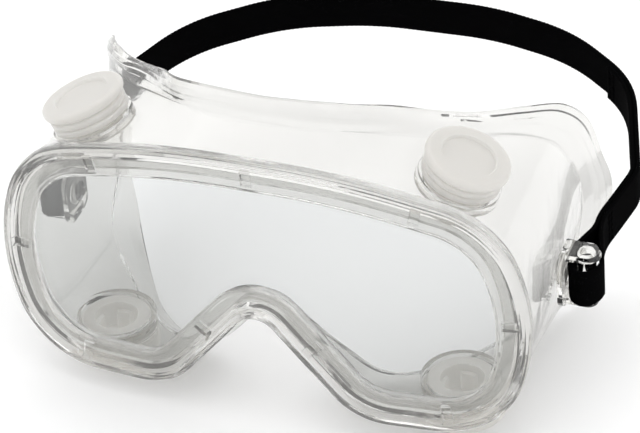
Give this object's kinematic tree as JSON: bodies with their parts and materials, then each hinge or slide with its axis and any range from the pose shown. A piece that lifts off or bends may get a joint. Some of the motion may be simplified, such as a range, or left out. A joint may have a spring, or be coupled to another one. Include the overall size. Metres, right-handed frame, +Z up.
{
  "type": "safety goggles",
  "caption": "Clear chemical-splash safety goggles with a soft one-piece frame, curved lens, capped round vents, swivelling strap clips and an elastic headband.",
  "frame": {"origin": "centre of the footprint, at the height of the table the goggles stand on", "axes": "+X across the face towards the right-hand side seen from the front, +Y from the lens back to the wearer's head, +Z up"},
  "size_m": [0.181, 0.1662, 0.1068],
  "materials": {
    "clear_soft_vinyl": "glossy flexible clear vinyl",
    "clear_polycarbonate": "clear polished polycarbonate",
    "milky_vent_plastic": "translucent satin polyethylene",
    "clear_hard_plastic": "clear glossy hard plastic",
    "woven_elastic": "ribbed woven elastic webbing"
  },
  "bodies": {
    "goggle_frame": {"frame_body": "clear_soft_vinyl", "lens": "clear_polycarbonate", "vent_base_top_left": "milky_vent_plastic", "vent_base_top_right": "milky_vent_plastic", "vent_base_bottom_left": "milky_vent_plastic", "vent_base_bottom_right": "milky_vent_plastic"},
    "vent_cap_top_left": {"vent_cap_top_left": "milky_vent_plastic"},
    "vent_cap_top_right": {"vent_cap_top_right": "milky_vent_plastic"},
    "vent_cap_bottom_left": {"vent_cap_bottom_left": "milky_vent_plastic"},
    "vent_cap_bottom_right": {"vent_cap_bottom_right": "milky_vent_plastic"},
    "headband_assembly": {"headband": "woven_elastic", "strap_clip_left": "clear_hard_plastic", "strap_clip_right": "clear_hard_plastic"}
  },
  "joints": [
    {"name": "headband_swing", "type": "hinge", "parent": "goggle_frame", "child": "headband_assembly", "pos_m": [0, -0.0325, 0.036], "axis": [1, 0, 0], "range_deg": [-30, 60]},
    {"name": "vent_cap_top_left_pull", "type": "slide", "parent": "goggle_frame", "child": "vent_cap_top_left", "axis": [-0.3584, 0, 0.9336], "range_m": [0, 0.004]},
    {"name": "vent_cap_top_right_pull", "type": "slide", "parent": "goggle_frame", "child": "vent_cap_top_right", "axis": [0.3584, 0, 0.9336], "range_m": [0, 0.004]},
    {"name": "vent_cap_bottom_left_pull", "type": "slide", "parent": "goggle_frame", "child": "vent_cap_bottom_left", "axis": [0, 0, -1], "range_m": [0, 0.004]},
    {"name": "vent_cap_bottom_right_pull", "type": "slide", "parent": "goggle_frame", "child": "vent_cap_bottom_right", "axis": [0, 0, -1], "range_m": [0, 0.004]}
  ]
}
